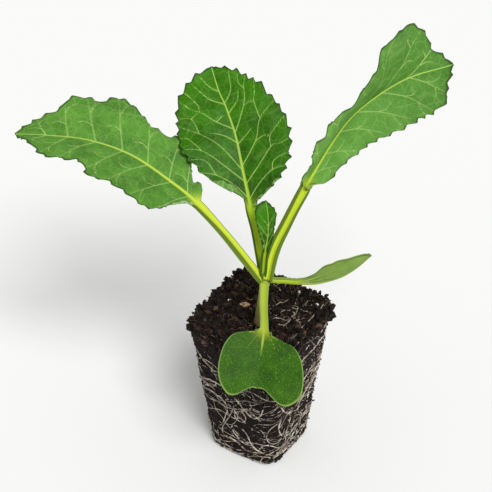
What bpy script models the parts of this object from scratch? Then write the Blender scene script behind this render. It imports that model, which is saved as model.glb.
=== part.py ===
"""Cabbage seedling with its square plug of potting mix, as lifted from a plug tray.

Metres, +Z up. The origin is in the middle of the plug's flat bottom, and the plug's sides lie
along X and Y. Sizes and points are written in millimetres and turned to metres by MM.
"""
import math

import bmesh
import bpy
import numpy as np
from mathutils import Matrix, Vector

MM = 0.001
GAP = 0.3                      # kept between pieces that touch in life

PLUG_CENTRE = (-0.8, -0.5)     # the plant does not stand quite in the plug's middle
PLUG_TOP_HALF = 19.9           # the tray's cell is 40 mm square at its mouth
PLUG_HEIGHT = 59.5
PLUG_TAPER = 0.75              # bottom side over top side
PLUG_CORNER_TOP = 4.0          # corner radius at the mouth
PLUG_CORNER_BOTTOM = 7.0
PLUG_BOTTOM_ROUND = 1.5        # rounding of the bottom edge

STEM_RADIUS = 1.6
CROWN_RADIUS = 2.1             # where all leaf stalks start
ROOT_RADIUS = 0.45
BLADE_THICKNESS = 0.5

for old in list(bpy.data.objects):
    bpy.data.objects.remove(old, do_unlink=True)


def material(name, colour, roughness):
    """A Principled material; colour is linear red, green, blue."""
    made = bpy.data.materials.new(name)
    made.use_nodes = True
    shader = made.node_tree.nodes["Principled BSDF"]
    shader.inputs["Base Color"].default_value = (*colour, 1.0)
    shader.inputs["Roughness"].default_value = roughness
    shader.inputs["Metallic"].default_value = 0.0
    return made


def add_object(name, data, finish):
    made = bpy.data.objects.new(name, data)
    bpy.context.collection.objects.link(made)
    data.materials.append(finish)
    return made


def smooth_path(points, count):
    """Evenly spaced points on a smooth curve through the given ones, and the distance along the
    curve to each given one."""
    steps = 24
    p = np.array(points, float)
    p = np.vstack([2 * p[0] - p[1], p, 2 * p[-1] - p[-2]])
    t = np.arange(steps)[:, None] / steps
    fine = []
    for a, b, c, d in zip(p, p[1:], p[2:], p[3:]):
        fine.append(0.5 * (2 * b + (c - a) * t + (2 * a - 5 * b + 4 * c - d) * t ** 2
                           + (3 * b - a - 3 * c + d) * t ** 3))
    fine = np.vstack(fine + [p[-2:-1]])
    along = np.concatenate([[0], np.cumsum(np.linalg.norm(np.diff(fine, axis=0), axis=1))])
    even = np.linspace(0, along[-1], count)
    out = np.stack([np.interp(even, along, fine[:, k]) for k in range(fine.shape[1])], 1)
    return out, along[::steps]


def ease(values, x):
    """Values spread evenly over 0 to 1, read at x with an eased change between them."""
    values = np.array(values, float)
    last = len(values) - 1
    place = np.clip(x, 0, 1) * last
    low = np.minimum(place.astype(int), last - 1)
    part = place - low
    part = part * part * (3 - 2 * part)
    if values.ndim > 1:
        part = part[..., None]
    return values[low] * (1 - part) + values[low + 1] * part


# Plug of potting mix -------------------------------------------------------------------------

def plug_half(height):
    """Half the plug's side at a height."""
    return PLUG_TOP_HALF * (PLUG_TAPER + (1 - PLUG_TAPER) * height / PLUG_HEIGHT)


def plug_corner(height):
    """Radius of the plug's upright corners at a height."""
    return PLUG_CORNER_BOTTOM + (PLUG_CORNER_TOP - PLUG_CORNER_BOTTOM) * height / PLUG_HEIGHT


def rounded_square(turn, half, radius):
    """Point of a rounded square's outline in the direction turn, in radians from +X."""
    side, beside = abs(math.cos(turn)), abs(math.sin(turn))
    if side < beside:
        side, beside = beside, side
    centre = half - radius
    reach = half / side
    if beside * reach > centre:
        reach = centre * (side + beside) + math.sqrt(radius ** 2 - (centre * (side - beside)) ** 2)
    return reach * math.cos(turn), reach * math.sin(turn)


def potting_mix_plug(finish):
    """Rings of a rounded square, from the bottom's rim up the sides and in over the mounded top."""
    rings = [(0.0, PLUG_BOTTOM_ROUND), (PLUG_BOTTOM_ROUND, 0.0), (20.0, 0.0), (40.0, 0.0),
             (56.0, 0.0), (58.3, 0.8), (PLUG_HEIGHT, 3.0), (60.8, 9.0)]
    corners = 32
    bm = bmesh.new()
    rows = []
    for height, inset in rings:
        half = plug_half(height) - inset
        radius = max(plug_corner(height) - inset, 2.0)
        row = []
        for step in range(corners):
            x, y = rounded_square(2 * math.pi * (step + 0.5) / corners, half, radius)
            place = (x + PLUG_CENTRE[0], y + PLUG_CENTRE[1], height)
            row.append(bm.verts.new(Vector(place) * MM))
        rows.append(row)
    for low, high in zip(rows, rows[1:]):
        for k in range(corners):
            after = (k + 1) % corners
            bm.faces.new((low[k], low[after], high[after], high[k]))
    bm.faces.new(list(reversed(rows[0])))
    bm.faces.new(rows[-1])
    mesh = bpy.data.meshes.new("potting_mix_plug")
    bm.to_mesh(mesh)
    bm.free()
    return add_object("potting_mix_plug", mesh, finish)


# Stem ----------------------------------------------------------------------------------------

STEM_PATH = [(1.5, -9.4, 44), (1.9, -8.8, 51), (2.5, -8, 58), (3.2, -7, 66), (3.9, -6, 75),
             (4.2, -5.7, 79.6)]
STEM_RADII = [0.6, 1.3, STEM_RADIUS, STEM_RADIUS, STEM_RADIUS, CROWN_RADIUS]


def tube(name, points, radii, finish, bevel_resolution):
    """A round tube through the points, in millimetres, closed at both ends."""
    curve = bpy.data.curves.new(name, "CURVE")
    curve.dimensions = "3D"
    curve.bevel_depth = MM
    curve.bevel_resolution = bevel_resolution
    curve.use_fill_caps = True
    line = curve.splines.new("POLY")
    line.points.add(len(points) - 1)
    for spot, place, radius in zip(line.points, points, radii):
        spot.co = (*(Vector(place) * MM), 1.0)
        spot.radius = radius
    return add_object(name, curve, finish)


def stem(name, finish, grow=0.0):
    """The stem from its buried foot to the crown; grow makes the socket's cutter."""
    count = 16
    path, stops = smooth_path(STEM_PATH, count)
    radii = np.interp(np.linspace(0, stops[-1], count), stops, STEM_RADII) + grow
    path[0, 2] -= grow
    return tube(name, path, radii, finish, bevel_resolution=3)


# Leaves --------------------------------------------------------------------------------------

def heading(sideways, backwards, upwards):
    """A direction given along and across the plant's broad side, which looks 33.6 degrees round
    from the plug's -Y side."""
    turn = math.radians(33.6)
    return (sideways * math.cos(turn) - backwards * math.sin(turn),
            sideways * math.sin(turn) + backwards * math.cos(turn), upwards)


def slope_at(table, along, across):
    """The blade's slope in degrees, read from rows from base to tip and columns from the midrib
    outwards."""
    table = np.array(table, float)
    rows = [ease(row, across) for row in table]
    last = len(rows) - 1
    place = np.clip(along, 0, 1) * last
    low = np.minimum(place.astype(int), last - 1)
    part = place - low
    part = part * part * (3 - 2 * part)
    rows = np.array(rows)
    pick = np.arange(len(low))
    return rows[low, pick] * (1 - part) + rows[low + 1, pick] * part


def leaf(name, finish, stalk, midrib, stalk_half, stalk_depth, left, right, face,
         slope_left, slope_right, reach=22.0, sweep=2.0, stalk_rows=7, blade_rows=30):
    """One leaf with its stalk, as a thickened sheet.

    stalk and midrib are points up the leaf. left and right are the blade's margins laid flat:
    distance beyond the blade's base, distance out from the midrib, seen from the upper side with
    the tip up. face is where the upper side looks, from base to tip. slope_left and slope_right
    say how steeply each half stands up out of that plane, out to reach from the midrib.
    """
    columns = np.array([-1, -0.68, -0.36, -0.1, 0.1, 0.36, 0.68, 1])
    line, stops = smooth_path(stalk + midrib, 300)
    length, base = stops[-1], stops[len(stalk)]
    # the sheet laid flat: rows run from the midrib forwards and out to the margin
    stalk_at = np.linspace(0, base, stalk_rows, endpoint=False)
    blade_at = np.linspace(0, 1, blade_rows)
    middle = np.concatenate([stalk_at, base + (length - base) * blade_at ** sweep])
    stalk_width = ease(stalk_half, stalk_at / base)
    flat_x = np.zeros((len(middle), len(columns)))
    flat_y = np.zeros_like(flat_x)
    for sign, margin in ((-1, left), (1, right)):
        edge, _ = smooth_path([(a + base, out) for a, out in margin] + [(length, 0)], blade_rows)
        edge = np.vstack([np.stack([stalk_at, stalk_width], 1), edge])
        for k, column in enumerate(columns):
            if column * sign > 0:
                part = abs(column)
                bow = 0.1 * edge[:, 1] * 4 * part * (1 - part)
                flat_x[:, k] = middle + (edge[:, 0] - middle) * part - bow
                flat_y[:, k] = sign * edge[:, 1] * part
    # bend it to its shape in the air
    steps = np.linspace(0, length, len(line))
    forward = np.gradient(line, axis=0)
    forward /= np.linalg.norm(forward, axis=1, keepdims=True)
    upper = ease(face, steps / length)
    upper -= np.sum(upper * forward, 1, keepdims=True) * forward
    upper /= np.linalg.norm(upper, axis=1, keepdims=True)
    aside = np.cross(forward, upper)
    x, y = flat_x.ravel(), flat_y.ravel()
    on_line = np.clip(x, 0, length)

    def read(table):
        return np.stack([np.interp(on_line, steps, table[:, k]) for k in range(3)], 1)

    place = read(line) + read(forward) * (x - on_line)[:, None]
    along = (on_line - base) / (length - base)
    out, up = np.zeros_like(x), np.zeros_like(x)
    slices = 24
    for k in range(slices):
        across = (k + 0.5) / slices * np.abs(y) / reach
        slope = np.where(y < 0, slope_at(slope_left, along, across),
                         slope_at(slope_right, along, across))
        out += y / slices * np.cos(np.radians(slope))
        up += np.abs(y) / slices * np.sin(np.radians(slope))
    place += read(aside) * out[:, None] + read(upper) * up[:, None]
    # thickness: a half-round stalk that runs on as a ridge under the blade and fades to the tip
    depth = np.interp(middle, [0, base * 0.3, base, length],
                      [stalk_depth * 0.6, stalk_depth, stalk_depth * 0.7, BLADE_THICKNESS])
    in_stalk = np.clip(1 - (middle - base) / 6, 0, 1)[:, None]
    round_section = np.sqrt(1 - 0.92 * columns ** 2)
    ridge = np.where(np.abs(columns) < 0.2, 1.0, 0.0)
    section = in_stalk * round_section + (1 - in_stalk) * ridge
    thick = BLADE_THICKNESS + (depth[:, None] - BLADE_THICKNESS) * section
    bm = bmesh.new()
    bmesh.ops.create_grid(bm, x_segments=len(columns) - 1, y_segments=len(middle) - 1, size=1)
    weights = bm.verts.layers.deform.verify()
    for vert, spot, amount in zip(bm.verts, place, thick.ravel()):
        vert.co = Vector(spot) * MM
        vert[weights][0] = amount / stalk_depth
    bmesh.ops.remove_doubles(bm, verts=bm.verts, dist=0.02 * MM)
    mesh = bpy.data.meshes.new(name)
    bm.to_mesh(mesh)
    bm.free()
    mesh.shade_smooth()
    made = add_object(name, mesh, finish)
    made.vertex_groups.new(name="thickness")
    body = made.modifiers.new("body", "SOLIDIFY")
    body.thickness = stalk_depth * MM
    body.offset = -1
    body.vertex_group = "thickness"
    return made


# Roots ---------------------------------------------------------------------------------------

def root(name, finish, side, points):
    """A root that lies on the plug's side. side counts quarter turns from the -Y side, and each
    point is the distance to the right of that side's middle and the height."""
    spacing = 2.0
    _, stops = smooth_path(points, 2)
    route, _ = smooth_path(points, max(4, round(stops[-1] / spacing)))
    path = []
    for across, height in route:
        turn = math.atan2(across, plug_half(height)) + math.radians(90 * side - 90)
        proud = ROOT_RADIUS + GAP + 0.2
        x, y = rounded_square(turn, plug_half(height) + proud, plug_corner(height) + proud)
        path.append((x + PLUG_CENTRE[0], y + PLUG_CENTRE[1], height))
    return tube(name, path, [ROOT_RADIUS] * len(path), finish, bevel_resolution=1)


ROOTS = [
    (0, [(-18, 48), (-14, 44.5), (-9, 41), (-3, 41.5)]),
    (0, [(-16, 29.5), (-10, 29.5), (-5, 27.5), (-3.5, 24), (-5, 19), (-7, 13.5)]),
    (0, [(-16.5, 33.5), (-11, 34.8), (-4, 34), (2, 37)]),
    (0, [(0, 31), (3.5, 28), (5.5, 25), (8.5, 24.2), (11.5, 27.5), (13.5, 34)]),
    (0, [(-8, 7), (-2, 7.8), (5, 5.5), (11, 7.5)]),
    (1, [(-12, 26), (-12.5, 19), (-9, 13), (-4, 10.5), (1, 11), (5, 15)]),
    (1, [(-13, 31), (-9, 25.5), (-3, 22), (4, 21)]),
    (1, [(16, 50), (12, 47), (5, 45.5), (-3, 44)]),
    (1, [(15.5, 41), (12.5, 33), (9, 26), (7, 19), (9, 9)]),
    (1, [(-8, 4), (-1, 3), (5, 4.5), (10, 7)]),
    (2, [(-14, 44), (-9, 38), (-9, 30), (-3, 25), (3, 26)]),
    (2, [(14, 37), (8, 31), (9, 22), (4, 15), (-4, 14)]),
    (2, [(-10, 19), (-5, 9), (3, 6), (9, 9)]),
    (3, [(-13, 46), (-6, 42), (0, 35), (8, 34), (14, 39)]),
    (3, [(12, 25), (7, 19), (0, 20), (-6, 26), (-12, 24)]),
    (3, [(-10, 13), (-4, 7), (3, 8.5), (10, 6)]),
]


# Chips on top --------------------------------------------------------------------------------

def chip(name, finish, place, size, turn):
    """A loose chip of perlite or bark, an uneven pebble lying on the mix."""
    bm = bmesh.new()
    bmesh.ops.create_icosphere(bm, subdivisions=2, radius=0.5 * MM)
    for vert in bm.verts:
        bump = math.sin(2100 * vert.co.x + turn) + math.cos(1900 * vert.co.y - turn)
        vert.co *= 1 + 0.08 * bump
    shape = (Matrix.Translation(Vector(place) * MM) @ Matrix.Rotation(turn, 4, "Z")
             @ Matrix.Diagonal((*size, 1)))
    bmesh.ops.transform(bm, matrix=shape, verts=bm.verts)
    mesh = bpy.data.meshes.new(name)
    bm.to_mesh(mesh)
    bm.free()
    return add_object(name, mesh, finish)


CHIPS = [
    ("bark_chip", (-6.7, -2.1, 62), (3.6, 2.2, 1.4), 0.5),
    ("perlite_chip_1", (-13.4, -2.8, 61.5), (1.5, 1.1, 0.9), 1.1),
    ("perlite_chip_2", (6.6, 14.6, 61.2), (1.6, 1.2, 1.0), 2.0),
    ("perlite_chip_3", (15.6, 12.5, 60.8), (1.4, 1.1, 0.9), 0.2),
]


# The seedling --------------------------------------------------------------------------------

mix = material("moist_potting_mix", (0.018, 0.012, 0.009), 0.95)
stem_skin = material("stem_skin", (0.22, 0.17, 0.06), 0.6)
leaf_blue = material("outer_leaf", (0.10, 0.24, 0.075), 0.6)
leaf_bright = material("centre_leaf_green", (0.07, 0.24, 0.02), 0.5)
seed_leaf = material("seed_leaf_green", (0.07, 0.16, 0.025), 0.55)
root_skin = material("root_skin", (0.50, 0.42, 0.32), 0.7)
bark = material("bark", (0.45, 0.28, 0.16), 0.85)
perlite = material("perlite", (0.75, 0.72, 0.66), 0.9)

plug = potting_mix_plug(mix)
outline = stem("stem_socket_outline", mix, grow=GAP)
bpy.context.view_layer.update()
grown = outline.evaluated_get(bpy.context.evaluated_depsgraph_get())
cutter = bpy.data.objects.new("stem_socket", bpy.data.meshes.new_from_object(grown))
bpy.context.collection.objects.link(cutter)
bpy.data.objects.remove(outline)
cutter.hide_render = True
cutter.display_type = "WIRE"
socket = plug.modifiers.new("stem_socket", "BOOLEAN")
socket.operation = "DIFFERENCE"
socket.solver = "EXACT"
socket.object = cutter
stem("stem", stem_skin)

leaf("leaf_left", leaf_blue,
     stalk=[(2.2, -6.3, 81), (-4.3, -8.9, 89), (-10.6, -10.7, 97.3)],
     midrib=[(-19.2, -12.8, 106), (-27.5, -14.7, 112), (-42.3, -18.5, 120.5),
             (-57, -23.5, 124.5), (-70.5, -29, 125), (-83, -33.5, 124)],
     stalk_half=[0.9, 1.6, 1.5, 1.8], stalk_depth=2.4,
     left=[(0, 1.8), (4, 4.5), (7, 10.5), (11, 18), (17, 21.5), (25, 20.5), (31, 19.8), (37, 21),
           (41, 17), (50, 14), (55, 14.5), (64, 7)],
     right=[(0, 1.8), (3.5, 7), (7, 6), (11, 11), (18, 17), (23, 14.5), (28, 14.8), (36, 18.5),
            (42, 20.8), (47, 17.2), (50, 18), (56, 16.5), (59, 10.5), (66, 7.8), (70, 3.5)],
     face=[heading(0.3, -0.25, 1), heading(0, -0.25, 1)],
     slope_left=[(13, 13), (13, 13)], slope_right=[(13, 13), (13, 13)], blade_rows=38)

leaf("leaf_centre", leaf_bright,
     stalk=[(3, -4.3, 81.8), (-1.2, -2.2, 92)],
     midrib=[(-5.4, 0, 102), (-11, 3.5, 113), (-17.7, 8.6, 123.7), (-24.5, 12.5, 131.6),
             (-29.5, 15.2, 135.8), (-35.5, 19.6, 141.5)],
     stalk_half=[0.9, 1.5, 1.4, 1.8], stalk_depth=2.2,
     left=[(0, 1.8), (5, 2.6), (9.5, 6), (12.5, 12.5), (18, 16.5), (25, 19.8), (34, 19.2),
           (42, 17.2), (48, 12.5), (52.5, 6.5)],
     right=[(0, 1.8), (4.5, 3.5), (7.5, 8.5), (13, 14.8), (20, 18), (27, 19), (35, 16.5),
            (43, 12.8), (49, 9), (52.5, 4)],
     face=[heading(0, -1, 0.3), heading(0, -1, 0.5)],
     slope_left=[(25, 15), (15, 5), (8, 0), (5, 0)],
     slope_right=[(25, 15), (15, 5), (8, 0), (5, 0)])

leaf("leaf_right", leaf_blue,
     stalk=[(5.9, -4.3, 80.8), (5.5, 0, 89), (7.1, 4.7, 97.6)],
     midrib=[(10, 10.9, 111), (15, 20.5, 126.5), (19.7, 28.7, 135.7), (28.8, 42.3, 143.8),
             (40.8, 55.9, 147.6)],
     stalk_half=[0.9, 1.7, 1.7, 1.9], stalk_depth=2.6,
     left=[(0, 1.9), (2, 4), (5, 4.4), (10, 7.8), (15, 12), (20, 13.6), (28, 15.6), (38, 18.4),
           (46, 19.6), (53, 19.2), (58.5, 16.8), (62, 13), (63.5, 7.5), (67, 4)],
     right=[(2, 1.9), (3, 3.6), (5, 6), (9, 7.4), (14, 7.8), (19.5, 9.6), (31, 12.6), (40, 14.8),
            (49, 15.4), (57, 15), (62.5, 12.5), (63.2, 9.5), (66, 5.2)],
     face=[heading(-0.6, -0.6, 0.6), heading(-0.3, -1, 0.7), heading(0, -1, 0.8),
           heading(0, -0.8, 1)],
     slope_left=[(70, 60, 40, 20, 20), (92, 88, 50, 20, 10), (92, 90, 70, 20, -20),
                 (90, 90, 88, 70, 0), (82, 82, 80, 70, 20), (66, 62, 58, 56, 40),
                 (38, 34, 32, 30, 20), (10, 10, 5, 5, 5)],
     slope_right=[(15, 5), (8, 5), (5, 5)], blade_rows=34)

leaf("leaf_young", leaf_bright,
     stalk=[(4.4, -7.4, 81.6)],
     midrib=[(4.5, -6.6, 90), (4.9, -5.2, 97.7), (3.7, -3.5, 104.6), (2, -2.2, 109)],
     stalk_half=[0.7, 1.0], stalk_depth=1.4,
     left=[(0, 0.9), (4, 1), (8, 3.2), (13, 4.6), (17, 4.6), (19.5, 2.6)],
     right=[(0, 0.9), (5, 1.8), (10, 2.2), (16, 3)],
     face=[heading(0, -1, 0.3), heading(0, -1, 0.4)],
     slope_left=[(40, 40), (30, 30), (20, 20)], slope_right=[(40, 40), (30, 30), (20, 20)],
     reach=4, stalk_rows=4, blade_rows=14)

leaf("cotyledon_front", seed_leaf,
     stalk=[(5.6, -8.2, 78.6), (7.6, -11.8, 73.3)],
     midrib=[(12.1, -18.4, 68.9), (15, -24.8, 62.5), (17.8, -31.4, 53.6)],
     stalk_half=[1.0, 1.4, 1.3, 1.6], stalk_depth=1.8,
     left=[(0, 1.6), (2.4, 2.6), (4, 7), (6, 11.5), (11, 14.5), (18, 15.7), (23, 14.8),
           (26, 11.2), (25.6, 8), (23.2, 5), (21.3, 2.5)],
     right=[(0, 1.6), (1.5, 3.5), (2, 7), (4, 10.8), (8.5, 13.4), (15, 14.3), (20.3, 13.1),
            (24, 10.2), (24.2, 7.4), (22.4, 4.6), (21.1, 2.2)],
     face=[heading(0, -0.6, 1), heading(0, -1, 0.9), heading(0, -1, 0.66)],
     slope_left=[(5, 5), (5, 5)], slope_right=[(5, 5), (5, 5)], reach=14, sweep=1.3,
     stalk_rows=5, blade_rows=20)

leaf("cotyledon_right", seed_leaf,
     stalk=[(6.8, -3.6, 78.6), (9, -1.2, 77.6)],
     midrib=[(12.4, 2, 75.9), (18.1, 6.5, 75), (24.3, 11.4, 77.2), (28.8, 15.3, 81.2),
             (32.8, 18.8, 86.6)],
     stalk_half=[0.9, 1.1, 1.2, 1.6], stalk_depth=1.7,
     left=[(0, 1.6), (2.5, 3.2), (6, 6.5), (12, 10), (17, 11), (22, 9.6), (26.5, 6.6), (29, 3)],
     right=[(0, 1.6), (2.5, 3.2), (6, 6), (11, 9.6), (17, 11), (22, 10), (26.5, 7.6), (29.5, 4)],
     face=[heading(0, 0.8, 1), heading(0, 1, 1), heading(-0.4, 1, 1), heading(-0.6, 0.8, 1)],
     slope_left=[(15, 5), (15, 5)], slope_right=[(20, 25), (15, 25)], reach=13, sweep=1.3,
     stalk_rows=4, blade_rows=18)

for number, (side, points) in enumerate(ROOTS, 1):
    root(f"root_{number:02d}", root_skin, side, points)

for name, place, size, turn in CHIPS:
    chip(name, bark if name == "bark_chip" else perlite, place, size, turn)
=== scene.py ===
import math

import bpy
import numpy as np
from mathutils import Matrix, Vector
from mathutils.kdtree import KDTree


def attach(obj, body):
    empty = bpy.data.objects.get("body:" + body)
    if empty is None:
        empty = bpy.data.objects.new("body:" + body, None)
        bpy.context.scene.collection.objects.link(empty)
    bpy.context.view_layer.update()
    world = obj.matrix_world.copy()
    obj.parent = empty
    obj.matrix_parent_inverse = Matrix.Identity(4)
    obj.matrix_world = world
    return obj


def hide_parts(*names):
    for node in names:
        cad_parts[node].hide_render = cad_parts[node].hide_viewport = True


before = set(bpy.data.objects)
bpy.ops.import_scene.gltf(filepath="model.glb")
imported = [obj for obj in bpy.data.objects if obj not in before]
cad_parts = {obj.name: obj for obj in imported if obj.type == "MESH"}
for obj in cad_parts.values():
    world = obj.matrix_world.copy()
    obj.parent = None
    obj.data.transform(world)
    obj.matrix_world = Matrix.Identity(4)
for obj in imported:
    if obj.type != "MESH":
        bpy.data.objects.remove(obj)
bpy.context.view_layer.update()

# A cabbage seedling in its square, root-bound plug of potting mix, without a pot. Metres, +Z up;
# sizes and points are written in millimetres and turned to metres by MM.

bpy.ops.object.select_all(action="DESELECT")

# Camera --------------------------------------------------------------------------------------
# A short telephoto 0.39 m away, looking down on the corner between the plug's -Y and +X sides.

MM = 0.001
BROAD_TURN = math.radians(33.6)             # the plant's broad side, turned from the plug's -Y side
LOOK_DOWN = math.radians(32.7)
CAMERA_AWAY = 391
AIM_ALONG = -6.4                            # along the broad side
AIM_HEIGHT = 88.7
aim = Vector((AIM_ALONG * math.cos(BROAD_TURN), AIM_ALONG * math.sin(BROAD_TURN), AIM_HEIGHT)) * MM
towards_camera = Vector((math.sin(BROAD_TURN) * math.cos(LOOK_DOWN),
                         -math.cos(BROAD_TURN) * math.cos(LOOK_DOWN), math.sin(LOOK_DOWN)))
bpy.ops.object.camera_add(location=aim + towards_camera * CAMERA_AWAY * MM)
camera = bpy.context.object
camera.name = "camera"
camera.rotation_euler = towards_camera.to_track_quat("Z", "Y").to_euler()
camera.data.sensor_width = 36
camera.data.lens = 80.5
bpy.context.scene.camera = camera

# Potting-mix plug ----------------------------------------------------------------------------
# Moist peat mix that has taken the shape of its tray cell: 40 mm square at the mouth, tapered,
# with rounded corners and a flat bottom. Its surface is a crumb of peat, bark dust and fibre.

PLUG_CENTRE = (-0.8, -0.5)
PLUG_TOP_HALF = 19.9
PLUG_HEIGHT = 59.5
PLUG_TAPER = 0.75                           # bottom side over top side
PLUG_CORNER_TOP = 4.0
PLUG_CORNER_BOTTOM = 7.0
PLUG_BOTTOM_ROUND = 1.5
PLUG_RIM_ROUND = 2.0
PLUG_CUTS = 118
HEAP = 3.2                                  # how far the mix heaps up towards the far corner


def plug_half(height):
    """Half the plug's side at a height."""
    return PLUG_TOP_HALF * (PLUG_TAPER + (1 - PLUG_TAPER) * height / PLUG_HEIGHT)


def plug_corner(height):
    """Radius of the plug's upright corners at a height."""
    return PLUG_CORNER_BOTTOM + (PLUG_CORNER_TOP - PLUG_CORNER_BOTTOM) * height / PLUG_HEIGHT


def rounded_square(turn, half, radius):
    """Points of rounded squares' outlines in the directions turn, in radians from +X, about the
    plug's own centre."""
    side = np.maximum(abs(np.cos(turn)), abs(np.sin(turn)))
    beside = np.minimum(abs(np.cos(turn)), abs(np.sin(turn)))
    centre = half - radius
    inside = np.maximum(radius ** 2 - (centre * (side - beside)) ** 2, 0)
    reach = np.where(beside * half / side > centre,
                     centre * (side + beside) + np.sqrt(inside), half / side)
    return reach * np.cos(turn), reach * np.sin(turn)


def linear(hex_colour):
    """An sRGB hex colour as linear red, green, blue and alpha."""
    parts = [int(hex_colour[k:k + 2], 16) / 255 for k in (1, 3, 5)]
    return [p / 12.92 if p <= 0.04045 else ((p + 0.055) / 1.055) ** 2.4 for p in parts] + [1.0]


def add(tree, kind, links=None, **settings):
    """Adds a node. settings are its properties; links gives an input a socket or a value."""
    made = tree.nodes.new(kind)
    for key, value in settings.items():
        setattr(made, key, value)
    for key, value in (links or {}).items():
        if isinstance(value, bpy.types.NodeSocket):
            tree.links.new(value, made.inputs[key])
        else:
            made.inputs[key].default_value = value
    return made


def new_material(name):
    """A material with its node tree and its Principled shader."""
    made = bpy.data.materials.new(name)
    made.use_nodes = True
    return made, made.node_tree, made.node_tree.nodes["Principled BSDF"]


def get_points(piece):
    """A piece's points, in metres."""
    points = np.empty(len(piece.data.vertices) * 3)
    piece.data.vertices.foreach_get("co", points)
    return points.reshape(-1, 3)


def set_points(piece, points):
    piece.data.vertices.foreach_set("co", np.asarray(points, float).ravel())
    piece.data.update()


def displace(piece, kind, grain, strength, **settings):
    """Pushes a surface in and out by a pattern whose grain is in millimetres."""
    pattern = bpy.data.textures.new(f"{piece.name}_{kind.lower()}", kind)
    pattern.noise_scale = grain * MM
    for key, value in settings.items():
        setattr(pattern, key, value)
    push = piece.modifiers.new("push", "DISPLACE")
    push.texture = pattern
    push.texture_coords = "LOCAL"
    push.strength = strength * MM
    push.mid_level = 0.5
    bpy.context.view_layer.objects.active = piece
    bpy.ops.object.modifier_apply(modifier=push.name)


# moist peat mix, pressed and dried a little: near-black brown crumb, rough and hardly glossy, in
# clods of 3 mm and grains of 0.5 mm; tone makes single crumbs rusty or tan
peat, tree, shader = new_material("moist_peat_mix")
spot = add(tree, "ShaderNodeTexCoord").outputs["Object"]
grains = add(tree, "ShaderNodeTexNoise", {"Vector": spot, "Scale": 1 / (0.5 * MM), "Detail": 4.0})
clods = add(tree, "ShaderNodeTexNoise", {"Vector": spot, "Scale": 1 / (3 * MM), "Detail": 3.0})
tone = add(tree, "ShaderNodeAttribute", attribute_name="tone").outputs["Fac"]
light_part = add(tree, "ShaderNodeMapRange",
                 {"Value": grains.outputs[0], "From Min": 0.4, "From Max": 0.8})
black = add(tree, "ShaderNodeMix", {0: clods.outputs[0], 6: linear("#060403"), 7: linear("#130e0b")},
            data_type="RGBA")
brown = add(tree, "ShaderNodeMix", {0: light_part.outputs[0], 6: black.outputs[2], 7: linear("#2b201b")},
            data_type="RGBA")
rusty = add(tree, "ShaderNodeMix", {0: tone, 6: brown.outputs[2], 7: linear("#5c4433")}, data_type="RGBA")
bump = add(tree, "ShaderNodeBump", {"Height": grains.outputs[0], "Strength": 0.7, "Distance": 0.3 * MM})
tree.links.new(rusty.outputs[2], shader.inputs["Base Color"])
tree.links.new(bump.outputs[0], shader.inputs["Normal"])
shader.inputs["Roughness"].default_value = 0.7
shader.inputs["Specular IOR Level"].default_value = 0.15

bpy.ops.mesh.primitive_cube_add(size=2)
plug = bpy.context.object
plug.name = "potting_mix"
bpy.ops.object.mode_set(mode="EDIT")
bpy.ops.mesh.subdivide(number_cuts=PLUG_CUTS)
bpy.ops.object.mode_set(mode="OBJECT")
cube = get_points(plug)
height = (cube[:, 2] + 1) / 2 * PLUG_HEIGHT
ring = np.maximum(abs(cube[:, 0]), abs(cube[:, 1]))
turn = np.arctan2(cube[:, 1], cube[:, 0])
rim_in = 0
for radius, away in ((PLUG_BOTTOM_ROUND, height), (PLUG_RIM_ROUND, PLUG_HEIGHT - height)):
    rim_in = rim_in + radius * (1 - np.sqrt(1 - np.clip(1 - away / radius, 0, 1) ** 2))
x, y = rounded_square(turn, plug_half(height) - rim_in, plug_corner(height) - rim_in * 0.5)
far = np.clip((cube[:, 1] * math.cos(BROAD_TURN) - cube[:, 0] * math.sin(BROAD_TURN) + 0.5) / 1.5, 0, 1)
heap = HEAP * far * far * (3 - 2 * far) * np.clip((height - 48) / 11, 0, 1) ** 2
set_points(plug, np.stack([x * ring + PLUG_CENTRE[0], y * ring + PLUG_CENTRE[1], height + heap], 1) * MM)
displace(plug, "CLOUDS", 7.0, 1.2, noise_depth=2)
displace(plug, "VORONOI", 1.4, 1.0)
displace(plug, "CLOUDS", 0.8, 0.9, noise_depth=1)
soil = get_points(plug)
soil[:, 2] = np.maximum(soil[:, 2], 0.1 * MM)
set_points(plug, soil)
plug.data.shade_smooth()
plug.data.attributes.new("tone", "FLOAT", "POINT")
plug.data.materials.append(peat)
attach(plug, "root")
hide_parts("potting_mix_plug")

# Crumbs --------------------------------------------------------------------------------------
# Loose crumbs of peat and bark dust, 0.3 to 3 mm, that stick to the plug all round and lie
# thickest on its top and over its rim. Each is one broken lump, turned and stretched its own way.

chance = np.random.default_rng(72)


def turned(count):
    """Random turns as matrices."""
    q = chance.normal(size=(count, 4))
    w, x, y, z = (q / np.linalg.norm(q, axis=1, keepdims=True)).T
    return np.stack([1 - 2 * (y * y + z * z), 2 * (x * y - w * z), 2 * (x * z + w * y),
                     2 * (x * y + w * z), 1 - 2 * (x * x + z * z), 2 * (y * z - w * x),
                     2 * (x * z - w * y), 2 * (y * z + w * x), 1 - 2 * (x * x + y * y)],
                    1).reshape(-1, 3, 3)


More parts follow.
